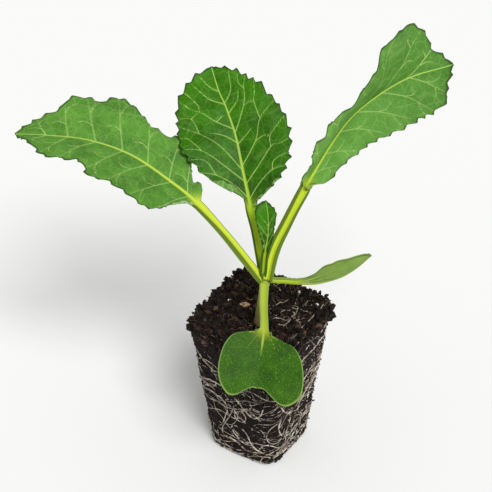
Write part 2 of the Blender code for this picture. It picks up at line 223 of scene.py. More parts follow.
def scatter(name, places, sizes, tones):
    """Lays copies of one broken lump at places, in metres, each with its three sizes."""
    bpy.ops.mesh.primitive_ico_sphere_add(subdivisions=1, radius=0.5)
    lump = bpy.context.object
    lump.name = name
    shape = get_points(lump)
    faces = np.array([f.vertices[:] for f in lump.data.polygons])
    count = len(places)
    broken = shape[None] * chance.uniform(0.45, 1.45, (count, len(shape), 1))
    points = np.einsum("nij,nvj->nvi", turned(count), broken * sizes[:, None, :]) + places[:, None]
    points[..., 2] = np.maximum(points[..., 2], 0.02 * MM)
    all_faces = (faces[None] + len(shape) * np.arange(count)[:, None, None]).reshape(-1, 3)
    mesh = bpy.data.meshes.new(name)
    mesh.from_pydata(points.reshape(-1, 3).tolist(), [], all_faces.tolist())
    lump.data = mesh
    tone = mesh.attributes.new("tone", "FLOAT", "POINT")
    tone.data.foreach_set("value", np.repeat(tones, len(shape)).astype(np.float32))
    mesh.materials.append(peat)
    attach(lump, "root")


top = soil[soil[:, 2] > 58 * MM]
from_middle = abs(soil[:, :2] / MM - PLUG_CENTRE).max(axis=1)
rim = soil[(soil[:, 2] > 55 * MM) & (from_middle > 17)]
sides = soil[(soil[:, 2] > 2 * MM) & (soil[:, 2] < 57 * MM)]
for name, bed, count, smallest, largest, loose in (("crumbs_top", top, 4600, 0.4, 2.6, 0.5),
                                                   ("crumbs_rim", rim, 2600, 0.5, 3.0, 0.7),
                                                   ("crumbs_sides", sides, 3600, 0.3, 1.1, 0.25)):
    places = bed[chance.integers(0, len(bed), count)]
    places = places + chance.normal(0, loose * MM, places.shape)
    mean = smallest + (largest - smallest) * chance.random(count) ** 3.5
    sizes = mean[:, None] * chance.uniform(0.45, 1.5, (count, 3)) * MM
    scatter(name, places, sizes, chance.random(count) ** 9)

# Main roots ----------------------------------------------------------------------------------
# The thickest roots that circle the plug's sides, 0.6 mm across, on the routes of the solids that
# they replace. They are live tissue in a dull skin, and cling to the mix that they grew through.

STEPS_BETWEEN = 24


def smooth_path(points, count):
    """Evenly spaced points on a smooth curve through the given ones, and the distance along the
    curve to each given one."""
    p = np.array(points, float)
    p = np.vstack([2 * p[0] - p[1], p, 2 * p[-1] - p[-2]])
    t = np.arange(STEPS_BETWEEN)[:, None] / STEPS_BETWEEN
    fine = []
    for a, b, c, d in zip(p, p[1:], p[2:], p[3:]):
        fine.append(0.5 * (2 * b + (c - a) * t + (2 * a - 5 * b + 4 * c - d) * t ** 2
                           + (3 * b - a - 3 * c + d) * t ** 3))
    fine = np.vstack(fine + [p[-2:-1]])
    along = np.concatenate([[0], np.cumsum(np.linalg.norm(np.diff(fine, axis=0), axis=1))])
    even = np.linspace(0, along[-1], count)
    out = np.stack([np.interp(even, along, fine[:, k]) for k in range(fine.shape[1])], 1)
    return out, along[::STEPS_BETWEEN]


def tubes(name, routes, bevel_resolution, finish):
    """Tapered round strands; each route is its points in millimetres and their radii."""
    curve = bpy.data.curves.new(name, "CURVE")
    curve.dimensions = "3D"
    curve.bevel_depth = MM
    curve.bevel_resolution = bevel_resolution
    curve.use_fill_caps = True
    for points, radii in routes:
        line = curve.splines.new("POLY")
        line.points.add(len(points) - 1)
        places = np.column_stack([np.asarray(points) * MM, np.ones(len(points))])
        line.points.foreach_set("co", places.ravel())
        line.points.foreach_set("radius", radii)
    piece = bpy.data.objects.new(name, curve)
    bpy.context.collection.objects.link(piece)
    bpy.ops.object.select_all(action="DESELECT")
    piece.select_set(True)
    bpy.context.view_layer.objects.active = piece
    bpy.ops.object.convert(target="MESH")
    piece = bpy.context.object
    piece.data.shade_smooth()
    piece.data.materials.append(finish)
    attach(piece, "root")
    return piece


def two_tone(name, size, detail, low, high, dark, light, rough, kind="Noise"):
    """A material whose colour goes from dark to light in patches of a size in millimetres, where
    the pattern goes from low to high."""
    made, tree, shader = new_material(name)
    spot = add(tree, "ShaderNodeTexCoord").outputs["Object"]
    patches = add(tree, f"ShaderNodeTex{kind}",
                  {"Vector": spot, "Scale": 1 / (size * MM), "Detail": detail})
    share = add(tree, "ShaderNodeMapRange",
                {"Value": patches.outputs[0], "From Min": low, "From Max": high})
    colour = add(tree, "ShaderNodeMix", {0: share.outputs[0], 6: linear(dark), 7: linear(light)},
                 data_type="RGBA")
    tree.links.new(colour.outputs[2], shader.inputs["Base Color"])
    shader.inputs["Roughness"].default_value = rough
    return made, tree, shader, spot


# root skin: matt cream that shades to grey brown where soil clings to it, in patches of 2.5 mm;
# its fibres, 0.3 mm apart, are drawn coarser than they are
root_skin, tree, shader, spot = two_tone("root_skin", 2.5, 4.0, 0.35, 0.68, "#54463a", "#ded3c2", 0.7)
fibre = add(tree, "ShaderNodeTexNoise", {"Vector": spot, "Scale": 1 / (0.3 * MM), "Detail": 2.0})
bump = add(tree, "ShaderNodeBump", {"Height": fibre.outputs[0], "Strength": 0.3, "Distance": 0.05 * MM})
tree.links.new(bump.outputs[0], shader.inputs["Normal"])

ROOTS = [
    (0, [(-18, 48), (-14, 44.5), (-9, 41), (-3, 41.5)]),
    (0, [(-16, 29.5), (-10, 29.5), (-5, 27.5), (-3.5, 24), (-5, 19), (-7, 13.5)]),
    (0, [(-16.5, 33.5), (-11, 34.8), (-4, 34), (2, 37)]),
    (0, [(0, 31), (3.5, 28), (5.5, 25), (8.5, 24.2), (11.5, 27.5), (13.5, 34)]),
    (0, [(-8, 7), (-2, 7.8), (5, 5.5), (11, 7.5)]),
    (1, [(-12, 26), (-12.5, 19), (-9, 13), (-4, 10.5), (1, 11), (5, 15)]),
    (1, [(-13, 31), (-9, 25.5), (-3, 22), (4, 21)]),
    (1, [(16, 50), (12, 47), (5, 45.5), (-3, 44)]),
    (1, [(15.5, 41), (12.5, 33), (9, 26), (7, 19), (9, 9)]),
    (1, [(-8, 4), (-1, 3), (5, 4.5), (10, 7)]),
    (2, [(-14, 44), (-9, 38), (-9, 30), (-3, 25), (3, 26)]),
    (2, [(14, 37), (8, 31), (9, 22), (4, 15), (-4, 14)]),
    (2, [(-10, 19), (-5, 9), (3, 6), (9, 9)]),
    (3, [(-13, 46), (-6, 42), (0, 35), (8, 34), (14, 39)]),
    (3, [(12, 25), (7, 19), (0, 20), (-6, 26), (-12, 24)]),
    (3, [(-10, 13), (-4, 7), (3, 8.5), (10, 6)]),
]

ground = KDTree(len(soil))
for number, place in enumerate(soil):
    ground.insert(place, number)
ground.balance()


def on_plug(turn, height, sink):
    """A route over the plug's uneven sides, sunk into them by that many millimetres."""
    proud = np.zeros(len(turn))
    for _ in range(2):
        x, y = rounded_square(turn, plug_half(height) + proud, plug_corner(height) + proud)
        route = np.stack([x + PLUG_CENTRE[0], y + PLUG_CENTRE[1], height], 1)
        if not proud.any():
            outwards = route[:, :2] / np.linalg.norm(route[:, :2], axis=1, keepdims=True)
            near = np.array([soil[ground.find(place)[1]] for place in route * MM]) / MM
            proud = np.sum((near - route)[:, :2] * outwards, 1) - sink
            proud = np.convolve(np.pad(proud, 3, mode="edge"), np.ones(7) / 7, mode="valid")
    return route


ROOT_POINTS = 60
main_routes = []
for side, points in ROOTS:
    route, _ = smooth_path(points, ROOT_POINTS)
    turn = np.arctan2(route[:, 0], plug_half(route[:, 1])) + math.radians(90 * side - 90)
    wander = np.cumsum(chance.normal(0, 0.08, ROOT_POINTS))
    radii = 0.31 * np.interp(np.arange(ROOT_POINTS), [0, 4, 45, 59], [0.5, 1, 0.85, 0.3])
    radii = radii * chance.uniform(0.9, 1.1, ROOT_POINTS)
    main_routes.append((on_plug(turn, route[:, 1] + wander, -0.1), radii))
main_roots = tubes("main_roots", main_routes, 2, root_skin)
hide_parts(*[f"root_{number:02d}" for number in range(1, len(ROOTS) + 1)])

# Fine roots ----------------------------------------------------------------------------------
# The net of thread-thick and hair-fine roots over the sides. Each wanders its own way: high up
# it leans downwards, low down it runs level round the plug, as the tray's wall and floor turned
# it. They are densest low down, and a fifth of them start higher up on the +X side.

FINE_ROOTS = 150
ROOT_STEP = 0.8


def wandering_root(turn, height, length, thick):
    """One root over the sides, as its route and its radii."""
    count = max(8, round(length / ROOT_STEP))
    angle = chance.choice([0, math.pi]) + chance.normal(0, 0.6)
    bend = 0.0
    turns, heights = np.empty(count), np.empty(count)
    for k in range(count):
        turns[k], heights[k] = turn, height
        bend = 0.8 * bend + chance.normal(0, 0.12)
        lean = 0.4 if height < 3 else -0.7 * min(max((height - 10) / 35, 0), 1)
        angle += ROOT_STEP * (bend - 0.1 * (math.sin(angle) - lean) * math.cos(angle))
        turn += ROOT_STEP * math.cos(angle) / plug_half(height)
        height = min(max(height + ROOT_STEP * math.sin(angle), 1.3), 58)
    sink = 0.25 * np.sin(np.cumsum(chance.uniform(0, 0.35, count))) - 0.1
    taper = np.interp(np.arange(count), [0, 0.7 * count, count - 1], [1, 0.8, 0.35])
    return on_plug(turns, heights, sink), thick * taper


fine_routes = []
for number in range(FINE_ROOTS):
    if number % 5 == 0:
        turn, height = chance.uniform(-0.6, 0.7), chance.uniform(28, 57)
    else:
        turn, height = chance.uniform(0, 2 * math.pi), 2 + 52 * chance.random() ** 1.5
    length = chance.uniform(14, 60)
    fine_routes.append(wandering_root(turn, height, length, 0.09 + 0.17 * chance.random() ** 1.6))
tubes("fine_roots_a", fine_routes[:FINE_ROOTS // 2], 1, root_skin)
tubes("fine_roots_b", fine_routes[FINE_ROOTS // 2:], 1, root_skin)

# Strands on top ------------------------------------------------------------------------------
# What lies on the mix: dark and tan peat fibres, 2 to 8 mm long, and some pale root ends that
# have grown up over the rim, most of them at the +X +Y corner.

PEAT_FIBRES = 230
ROOT_ENDS = 64
RIM_IN = 18.3                               # how far from the plug's middle a strand may reach

# peat fibre: dull straw, tan to dark brown in patches of 4 mm
fibre_straw = two_tone("peat_fibre", 4, 2.0, 0.4, 0.65, "#2e211a", "#8c735a", 0.8)[0]


def strand_on_top(places, longest, thick):
    """One short curved strand that lies on the top of the mix."""
    start = places[chance.integers(0, len(places))] / MM
    count = 10
    way = chance.uniform(0, 2 * math.pi) + np.cumsum(chance.normal(0, 0.25, count))
    step = chance.uniform(0.3, 1) * longest / count
    plan = start[:2] + np.cumsum(np.stack([np.cos(way), np.sin(way)], 1) * step, axis=0)
    plan = np.clip(plan, np.array(PLUG_CENTRE) - RIM_IN, np.array(PLUG_CENTRE) + RIM_IN)
    level = [soil[ground.find((a * MM, b * MM, start[2] * MM))[1]][2] / MM for a, b in plan]
    lift = np.array(level) + 0.3 + 0.8 * np.sin(np.linspace(0, math.pi, count)) * chance.random()
    return np.column_stack([plan, lift]), thick * chance.uniform(0.6, 1.2) * np.linspace(1, 0.5, count)


tubes("peat_fibres", [strand_on_top(top, 8, 0.1) for _ in range(PEAT_FIBRES)], 0, fibre_straw)
corner = top[(top[:, 0] > 4 * MM) & (top[:, 1] > 0)]
tubes("root_ends", [strand_on_top(corner if k % 3 else top, 11, 0.17) for k in range(ROOT_ENDS)], 1,
      root_skin)

# Chips ---------------------------------------------------------------------------------------
# A curled flake of pine bark, 3.6 mm long, and three crushed bits of expanded perlite, 1.5 mm,
# all pressed into the top of the mix.


def flake(name, node, place, size, turn, finish):
    """One uneven chip of three sizes in millimetres."""
    bpy.ops.mesh.primitive_ico_sphere_add(subdivisions=4, radius=0.5 * MM)
    piece = bpy.context.object
    piece.name = name
    displace(piece, "CLOUDS", 0.5, 0.55, noise_depth=2)
    lump = get_points(piece) * size
    lump[:, 2] += 0.25 * lump[:, 0] ** 2 / (size[0] * MM)
    cos, sin = math.cos(turn), math.sin(turn)
    set_points(piece, np.column_stack([lump[:, 0] * cos - lump[:, 1] * sin,
                                       lump[:, 0] * sin + lump[:, 1] * cos, lump[:, 2]])
               + np.array(place) * MM)
    piece.data.shade_smooth()
    piece.data.materials.append(finish)
    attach(piece, "root")
    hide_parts(node)


# pine bark: tan cork with darker grooves 0.6 mm apart
bark = two_tone("pine_bark", 0.6, 3.0, 0.35, 0.6, "#5a4030", "#c9a684", 0.8)[0]

# perlite: chalky off-white glass foam with grey pits 0.4 mm wide
perlite = two_tone("expanded_perlite", 0.4, 0.0, 0.1, 0.5, "#8d877d", "#ded9cf", 0.9, "Voronoi")[0]

flake("bark_flake", "bark_chip", (-6.7, -2.1, 61.7), (3.6, 2.2, 1.4), 0.5, bark)
flake("perlite_bit_1", "perlite_chip_1", (-13.4, -2.8, 61.5), (1.5, 1.0, 0.9), 1.1, perlite)
flake("perlite_bit_2", "perlite_chip_2", (6.6, 14.6, 62.8), (1.6, 1.1, 0.9), 2.0, perlite)
flake("perlite_bit_3", "perlite_chip_3", (15.6, 12.5, 61.8), (1.3, 1.0, 0.9), 0.2, perlite)

# Stem ----------------------------------------------------------------------------------------
# The seedling's hypocotyl: 3 mm thick, leaning, purplish brown at the soil and greener towards
# the crown, where the leaf stalks start all round it.

# stem skin: satin, purplish-brown below 62 mm and yellow-green at the crown, in fine streaks that
# run up it, 0.4 mm wide and 3 mm long
stem_skin, tree, shader = new_material("hypocotyl_skin")
spot = add(tree, "ShaderNodeTexCoord").outputs["Object"]
parts = add(tree, "ShaderNodeSeparateXYZ", {0: spot})
greening = add(tree, "ShaderNodeMapRange",
               {"Value": parts.outputs[2], "From Min": 62 * MM, "From Max": 77 * MM})
stretch = add(tree, "ShaderNodeMapping",
              {"Vector": spot, "Scale": (1 / (0.4 * MM), 1 / (0.4 * MM), 1 / (3 * MM))})
streaks = add(tree, "ShaderNodeTexNoise", {"Vector": stretch.outputs[0], "Scale": 1.0, "Detail": 3.0})
woody = add(tree, "ShaderNodeMix", {0: streaks.outputs[0], 6: linear("#5d4638"), 7: linear("#8d7a50")},
            data_type="RGBA")
green = add(tree, "ShaderNodeMix", {0: greening.outputs[0], 6: woody.outputs[2], 7: linear("#8fa132")},
            data_type="RGBA")
bump = add(tree, "ShaderNodeBump", {"Height": streaks.outputs[0], "Strength": 0.3, "Distance": 0.1 * MM})
tree.links.new(green.outputs[2], shader.inputs["Base Color"])
tree.links.new(bump.outputs[0], shader.inputs["Normal"])
shader.inputs["Roughness"].default_value = 0.5

STEM_PATH = [(1.5, -9.4, 44), (1.9, -8.8, 51), (2.5, -8, 58), (3.2, -7, 66), (3.9, -6, 75),
             (4.2, -5.7, 78.9)]
STEM_RADII = [0.6, 1.3, 1.7, 1.6, 1.6, 2.1]
STEM_POINTS = 60
path, stops = smooth_path(STEM_PATH, STEM_POINTS)
radii = np.interp(np.linspace(0, stops[-1], STEM_POINTS), stops, STEM_RADII)
radii *= 1 + 0.03 * np.sin(np.arange(STEM_POINTS) * 0.9)
radii[-3:] *= [0.95, 0.8, 0.45]             # its top is rounded over
stem = tubes("hypocotyl", [(path, radii)], 6, stem_skin)
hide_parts("stem")

# Centre leaf ---------------------------------------------------------------------------------
# The youngest full leaf: nearly upright, round and toothed, thin and bright green, with a wide
# pale midrib that runs down into its stalk and pale side veins that fork and join into meshes.


def heading(sideways, backwards, upwards):
    """A direction along and across the plant's broad side."""
    return (sideways * math.cos(BROAD_TURN) - backwards * math.sin(BROAD_TURN),
            sideways * math.sin(BROAD_TURN) + backwards * math.cos(BROAD_TURN), upwards)


def eased_place(x, count):
    """Which of count values, spread evenly over 0 to 1, lies below x, and the eased share of the
    way from it to the next."""
    place = np.clip(x, 0, 1) * (count - 1)
    low = np.minimum(place.astype(int), count - 2)
    part = place - low
    return low, part * part * (3 - 2 * part)


def ease(values, x):
    """Values spread evenly over 0 to 1, read at x with an eased change between them."""
    values = np.array(values, float)
    low, part = eased_place(x, len(values))
    if values.ndim > 1:
        part = part[..., None]
    return values[low] * (1 - part) + values[low + 1] * part


def slope_at(table, along, across):
    """The blade's slope in degrees: rows from base to tip, columns from the midrib outwards."""
    rows = np.array([ease(row, across) for row in table])
    low, part = eased_place(along, len(rows))
    pick = np.arange(len(low))
    return rows[low, pick] * (1 - part) + rows[low + 1, pick] * part


def toothed(edge, height, spacing):
    """Moves a margin outwards into teeth that point to the tip."""
    if height == 0:
        return np.zeros_like(edge)
    run = np.gradient(edge, axis=0)
    run /= np.linalg.norm(run, axis=1, keepdims=True)
    along = np.concatenate([[0], np.cumsum(np.linalg.norm(np.diff(edge, axis=0), axis=1))])
    stops = np.cumsum(spacing * chance.uniform(0.7, 1.3, 60))
    tooth = np.searchsorted(stops, along)
    starts = np.concatenate([[0], stops])
    part = (along - starts[tooth]) / (starts[tooth + 1] - starts[tooth])
    rise = np.where(part < 0.72, (part / 0.72) ** 1.4, ((1 - part) / 0.28) ** 1.2)
    tall = height * chance.uniform(0.55, 1.2, 61)[tooth]
    start_in = np.clip((along - 0.5 * spacing) / (2 * spacing), 0, 1)
    end_in = np.clip((along[-1] - along) / (0.8 * spacing), 0.2, 1)
    return np.stack([-run[:, 1], run[:, 0]], 1) * ((rise - 0.5) * tall * start_in * end_in)[:, None]


def vein_marks(veins, base, vein_width, x, y):
    """How far each point of the flat sheet is from its nearest vein, and how wide that vein is."""
    spots, widths = [], []
    for vein in veins:
        route, _ = smooth_path(vein, max(8, round(len(vein) * 30)))
        spots += [(a + base, b, 0) for a, b in route]
        thin = 1.0 if abs(vein[0][1]) < 0.01 else 0.75
        widths += list(vein_width * thin * np.linspace(1, 0.45, len(route)))
    near = KDTree(len(spots))
    for number, place in enumerate(spots):
        near.insert(place, number)
    near.balance()
    found = [near.find((a, b, 0)) for a, b in zip(x, y)]
    return np.array([f[2] for f in found]), np.array(widths)[[f[1] for f in found]]


def thicken(piece, thick):
    """Gives a sheet its body, below its upper side and as thick as said for each of its points."""
    most = thick.max()
    group = piece.vertex_groups.new(name="thickness")
    for number, amount in enumerate(thick / most):
        group.add([number], amount, "REPLACE")
    body = piece.modifiers.new("body", "SOLIDIFY")
    body.thickness = most * MM
    body.offset = -1
    body.vertex_group = "thickness"
    body.material_offset = 1                # the lower side takes the second material
    bpy.context.view_layer.objects.active = piece
    bpy.ops.object.modifier_apply(modifier=body.name)


def leaf(name, skins, node, stalk, midrib, stalk_half, stalk_depth, left, right, face,
         slope_left, slope_right, veins, teeth=(0, 1), ruffle=(0, 1), pucker=0.35, blade=0.45,
         vein_width=0.25, midrib_width=0.8, midrib_end=2.0, glow=3.0, reach=22.0, sweep=2.0,
         stalk_rows=44, blade_rows=250, halves=66):
    """One leaf with its stalk, as a thickened sheet.

    stalk and midrib are points up the leaf. left and right are the blade's margins laid flat:
    distance beyond the blade's base, distance out from the midrib, seen from the upper side with
    the tip up; veins are routes on the same flat blade, positive to the right. face is where the
    upper side looks, from base to tip. slope_left and slope_right say how steeply each half
    stands up out of that plane, out to reach from the midrib. midrib_end is the share of the
    blade along which the midrib shows, and glow how far the stalk's yellow spreads into it.
    """
    columns = np.linspace(-1, 1, 2 * halves + 1)
    line, stops = smooth_path(stalk + midrib, 400)
    length, base = stops[-1], stops[len(stalk)]
    # the sheet laid flat: rows run from the midrib forwards and out to the margin
    stalk_at = np.linspace(0, base, stalk_rows, endpoint=False)
    blade_at = np.linspace(0, 1, blade_rows)
    middle = np.concatenate([stalk_at, base + (length - base) * blade_at ** sweep])
    flat_x = np.repeat(middle[:, None], len(columns), 1)
    flat_y = np.zeros_like(flat_x)
    for sign, margin in ((-1, left), (1, right)):
        edge, _ = smooth_path([(a + base, out) for a, out in margin] + [(length, 0)], blade_rows)
        bite = toothed(edge, *teeth)
        edge = np.vstack([np.stack([stalk_at, ease(stalk_half, stalk_at / base)], 1), edge])
        bite = np.vstack([np.zeros((stalk_rows, 2)), bite])
        half = columns * sign > 0
        part = abs(columns[half])[None]
        bow = 0.4 * edge[:, 1:] * part * (1 - part) * np.clip((middle[:, None] - base) / 14, 0, 1)
        flat_x[:, half] = (middle[:, None] + (edge[:, :1] - middle[:, None]) * part - bow
                           + bite[:, :1] * part ** 12)
        flat_y[:, half] = sign * (edge[:, 1:] * part + bite[:, 1:] * part ** 12)
    # side veins and midrib, on the flat sheet
    x, y = flat_x.ravel(), flat_y.ravel()
    in_blade = np.maximum(np.clip((x - base) / 4, 0, 1), np.clip(np.abs(y) / 1.5 - 1.2, 0, 1))
    along = np.clip((x - base) / (length - base), 0, 1)
    vein_far, width = vein_marks(veins, base, vein_width, x, y)
    side_vein = np.exp(-(vein_far / width) ** 2) * in_blade
    rib_half = midrib_width * np.interp(along, [0, 0.35, 1], [1, 0.55, 0.22])
    rib = np.exp(-(y / rib_half) ** 4) * np.clip(2.2 * (1 - along / midrib_end), 0, 1)
    # bend it to its shape in the air
    steps = np.linspace(0, length, len(line))
    forward = np.gradient(line, axis=0)
    forward /= np.linalg.norm(forward, axis=1, keepdims=True)
    upper = ease(face, steps / length)
    upper -= np.sum(upper * forward, 1, keepdims=True) * forward
    upper /= np.linalg.norm(upper, axis=1, keepdims=True)
    aside = np.cross(forward, upper)
    on_line = np.clip(x, 0, length)

    def read(table):
        return np.stack([np.interp(on_line, steps, table[:, k]) for k in range(3)], 1)

    place = read(line) + read(forward) * (x - on_line)[:, None]
    out, up = np.zeros_like(x), np.zeros_like(x)
    slices = 16
    for k in range(slices):
        across = (k + 0.5) / slices * np.abs(y) / reach
        slope = np.radians(np.where(y < 0, slope_at(slope_left, along, across),
                                    slope_at(slope_right, along, across)))
        out += y / slices * np.cos(slope)
        up += np.abs(y) / slices * np.sin(slope)
    # ruffled margin, and a blade that puffs up between its veins
    share = np.abs(np.tile(columns, len(middle)))
    wave_high, wave_long = ruffle
    phase = chance.uniform(0, 6, 4)
    wave = (np.sin(2 * math.pi * x / wave_long + phase[0] + np.sign(y))
            + 0.6 * np.sin(2 * math.pi * x / (0.57 * wave_long) + phase[1] * np.sign(y)))
    puff = pucker * (1 - np.exp(-(vein_far / 2.2) ** 2)) * (1 - np.exp(-(y / 3.0) ** 2))
    lift = (wave_high * share ** 2.5 * wave + puff - 0.12 * side_vein) * in_blade
    lift += 0.25 * (share ** 2 - 0.3) * (1 - in_blade)
    turned_up = (read(upper) * np.cos(slope)[:, None]
                 - read(aside) * (np.sign(y) * np.sin(slope))[:, None])
    place += read(aside) * out[:, None] + read(upper) * up[:, None] + turned_up * lift[:, None]
    # thickness: a half-round stalk that runs on as a ridge under the blade and fades to the tip
    depth = np.interp(x, [0, base * 0.3, base, base + 0.4 * (length - base), length],
                      [stalk_depth * 0.8, stalk_depth, stalk_depth * 0.75, stalk_depth * 0.4, blade])
    section = ((1 - in_blade) * np.sqrt(1 - 0.93 * share ** 2)
               + in_blade * np.exp(-(y / (1.1 * rib_half)) ** 2))
    thick = blade * (1 - 0.35 * in_blade * share ** 8) + (depth - blade) * section
    thick += 0.35 * side_vein
    bpy.ops.mesh.primitive_grid_add(x_subdivisions=len(columns) - 1, y_subdivisions=len(middle) - 1)
    piece = bpy.context.object
    piece.name = name
    set_points(piece, place * MM)
    edge_far = (1 - share) * np.maximum(np.repeat(np.abs(flat_y).max(1), len(columns)), 1)
    edge_far *= 2 - in_blade                # a stalk's edge is half as wide
    stalky = np.maximum(np.exp(-(np.maximum(x - base, 0) / glow) ** 2 - (y / glow) ** 2),
                        rib * np.interp(along, [0, 0.45, 1], [1, 0.55, 0.2]))
    for label, values in (("vein", np.maximum(side_vein, 0.85 * rib)), ("stalk", stalky),
                          ("edge", edge_far), ("along", along)):
        made = piece.data.attributes.new(label, "FLOAT", "POINT")
        made.data.foreach_set("value", values.astype(np.float32))
    flat = piece.data.attributes.new("flat", "FLOAT_VECTOR", "POINT")
    flat.data.foreach_set("vector", np.column_stack([x, y, 0 * x]).astype(np.float32).ravel())
    for skin in skins:
        piece.data.materials.append(skin)
    thicken(piece, thick)
    piece.data.shade_smooth()
    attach(piece, "root")
    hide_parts(node)


def leaf_skin(name, dark, light, vein, stalk, margin, mesh_vein=0.35, bloom=0.0, rough=0.5,
              stipple=0.25, slant=0.5):
    """A leaf's skin: waxy cuticle over green tissue, with a mesh of small veins.

    dark and light are the greens that it goes between, and slant is how far it goes from dark to
    light from base to tip: the tissue's own tone, with painted shade at the centre leaf's base and
    painted sheen at the folded leaf's base; mesh_vein is how pale the small veins are, in meshes of
    4.5 mm and, inside them, 1.5 mm; bloom is the share of grey wax and stipple how far its pale dots,
    0.5 mm apart, stand out.
    """
    made, tree, shader = new_material(name)
    flat = add(tree, "ShaderNodeAttribute", attribute_name="flat").outputs["Vector"]
    vein_mask, stalk_mask, edge, along = [
        add(tree, "ShaderNodeAttribute", attribute_name=label).outputs["Fac"]
        for label in ("vein", "stalk", "edge", "along")]
    wobble = add(tree, "ShaderNodeTexNoise", {"Vector": flat, "Scale": 0.45, "Detail": 2.0})
    bent = add(tree, "ShaderNodeVectorMath", {0: wobble.outputs[1], 1: (2.2, 2.2, 0.0), 2: flat},
               operation="MULTIPLY_ADD").outputs[0]
    lines = []
    for size, width, strength in ((4.5, 0.065, mesh_vein), (1.5, 0.13, 0.45 * mesh_vein)):
        cells = add(tree, "ShaderNodeTexVoronoi", {"Vector": bent, "Scale": 1 / size},
                    feature="DISTANCE_TO_EDGE")
        lines.append(add(tree, "ShaderNodeMapRange", {"Value": cells.outputs[0], "From Min": 0.0,
                                                      "From Max": width, "To Min": strength,
                                                      "To Max": 0.0}).outputs[0])
    net = add(tree, "ShaderNodeMath", {0: lines[0], 1: lines[1]}, operation="MAXIMUM").outputs[0]
    patches = add(tree, "ShaderNodeTexNoise", {"Vector": flat, "Scale": 1 / 7, "Detail": 3.0})
    patchy = add(tree, "ShaderNodeMapRange", {"Value": patches.outputs[0], "From Min": 0.3,
                                              "From Max": 0.7, "To Max": 1 - slant})
    blend = add(tree, "ShaderNodeMath", {0: along, 1: slant, 2: patchy.outputs[0]},
                operation="MULTIPLY_ADD")
    green = add(tree, "ShaderNodeMix", {0: blend.outputs[0], 6: linear(dark), 7: linear(light)},
                data_type="RGBA")
    specks = add(tree, "ShaderNodeTexNoise", {"Vector": flat, "Scale": 1 / 0.4, "Detail": 3.0})
    grain = add(tree, "ShaderNodeMapRange", {"Value": specks.outputs[0], "From Min": 0.3,
                                             "From Max": 0.7, "To Min": 0.75, "To Max": 1.25})
    grainy = add(tree, "ShaderNodeVectorMath", {0: green.outputs[2], "Scale": grain.outputs[0]},
                 operation="SCALE")
    dots = add(tree, "ShaderNodeTexVoronoi", {"Vector": flat, "Scale": 1 / 0.55})
    dot = add(tree, "ShaderNodeMapRange", {"Value": dots.outputs[0], "From Min": 0.1,
                                           "From Max": 0.3, "To Min": stipple, "To Max": 0.0})
    rim = add(tree, "ShaderNodeMapRange", {"Value": edge, "From Min": 0.2, "From Max": 0.55,
                                           "To Min": 0.8, "To Max": 0.0})
    colour = grainy.outputs[0]
    for share, over in ((bloom, "#9dbb85"), (dot.outputs[0], vein), (net, vein), (vein_mask, vein),
                        (stalk_mask, stalk), (rim.outputs[0], margin)):
        colour = add(tree, "ShaderNodeMix", {0: share, 6: colour, 7: linear(over)},
                     data_type="RGBA").outputs[2]
    relief = add(tree, "ShaderNodeMath", {0: net, 1: -0.6, 2: specks.outputs[0]},
                 operation="MULTIPLY_ADD")
    bump = add(tree, "ShaderNodeBump", {"Height": relief.outputs[0], "Strength": 0.35,
                                        "Distance": 0.12 * MM})
    gloss = add(tree, "ShaderNodeMapRange", {"Value": patches.outputs[0], "To Min": rough - 0.08,
                                             "To Max": rough + 0.1})
    tree.links.new(colour, shader.inputs["Base Color"])
    tree.links.new(gloss.outputs[0], shader.inputs["Roughness"])
    tree.links.new(bump.outputs[0], shader.inputs["Normal"])
    shader.inputs["Specular IOR Level"].default_value = 0.1
    return made


# young tissue with little wax: a satin, saturated green above, paler and duller below; above, the
# green darkens from tip to base, partly its own tone and partly painted shade low in the crown
centre_top_painted_shade = leaf_skin("centre_leaf_upper_skin_painted_shade", "#133c00", "#3a7d02", "#a6ca66", "#a3c02a",
                       "#22400a", mesh_vein=0.12, stipple=0.12, rough=0.45)
centre_under = leaf_skin("centre_leaf_lower_skin", "#48782c", "#6a9c42", "#b9d08a", "#7d9c26",
                         "#3e5a22", mesh_vein=0.4, rough=0.6)
CENTRE_VEINS = [
    [(3.4, 0), (8, 4.5), (12, 10.5), (12.5, 16.5)],
    [(12, 10.5), (15, 11.5), (16.5, 15), (16.8, 17.5)],
    [(9, 0), (14.5, 6), (20, 11.5), (20.5, 15), (21.5, 18.5)],
    [(20, 11.5), (23.5, 12), (27, 16.5), (28, 19)],
    [(15.5, 0), (23, 6.5), (29.5, 10), (33.5, 17)], [(23, 6.5), (24, 9.5), (23.5, 12)],
    [(29.5, 10), (35.5, 10), (38.5, 11.5), (41.5, 13)], [(35.5, 10), (36, 8), (35.5, 6)],
    [(27.5, 0), (35.5, 6), (40.5, 8.5), (46.5, 10.5)], [(40.5, 8.5), (44, 7.5), (48, 8)],
    [(39, 0), (42.5, 4), (50.5, 5.5)], [(35, 0), (38, 4.5), (41, 6.5)],
    [(23.5, 0), (26, 4), (27.5, 6)],
    [(3.8, 0), (9.5, -4), (14, -9.5), (16, -15.5)], [(14, -9.5), (19.5, -12.5), (21, -17.5)],
    [(10, 0), (16.5, -6), (23.5, -13), (26, -19.5)], [(23.5, -13), (30.5, -16.5), (32, -19)],
    [(14, 0), (23.5, -6), (31, -12), (37, -18.5)], [(31, -12), (37.5, -13), (41, -17.5)],
    [(37.5, -13), (39, -11), (39.5, -9.5)],
    [(29, 0), (33.5, -5), (39.5, -9.5), (45.5, -15)], [(39.5, -9.5), (42.5, -9), (47.5, -12)],
    [(38.5, 0), (43, -4.5), (50.5, -9)], [(44, 0), (46.5, -2.5), (51.5, -5)],
    [(24, 0), (28, -4.5), (30, -8.5)], [(33.5, -5), (35, -2)],
]
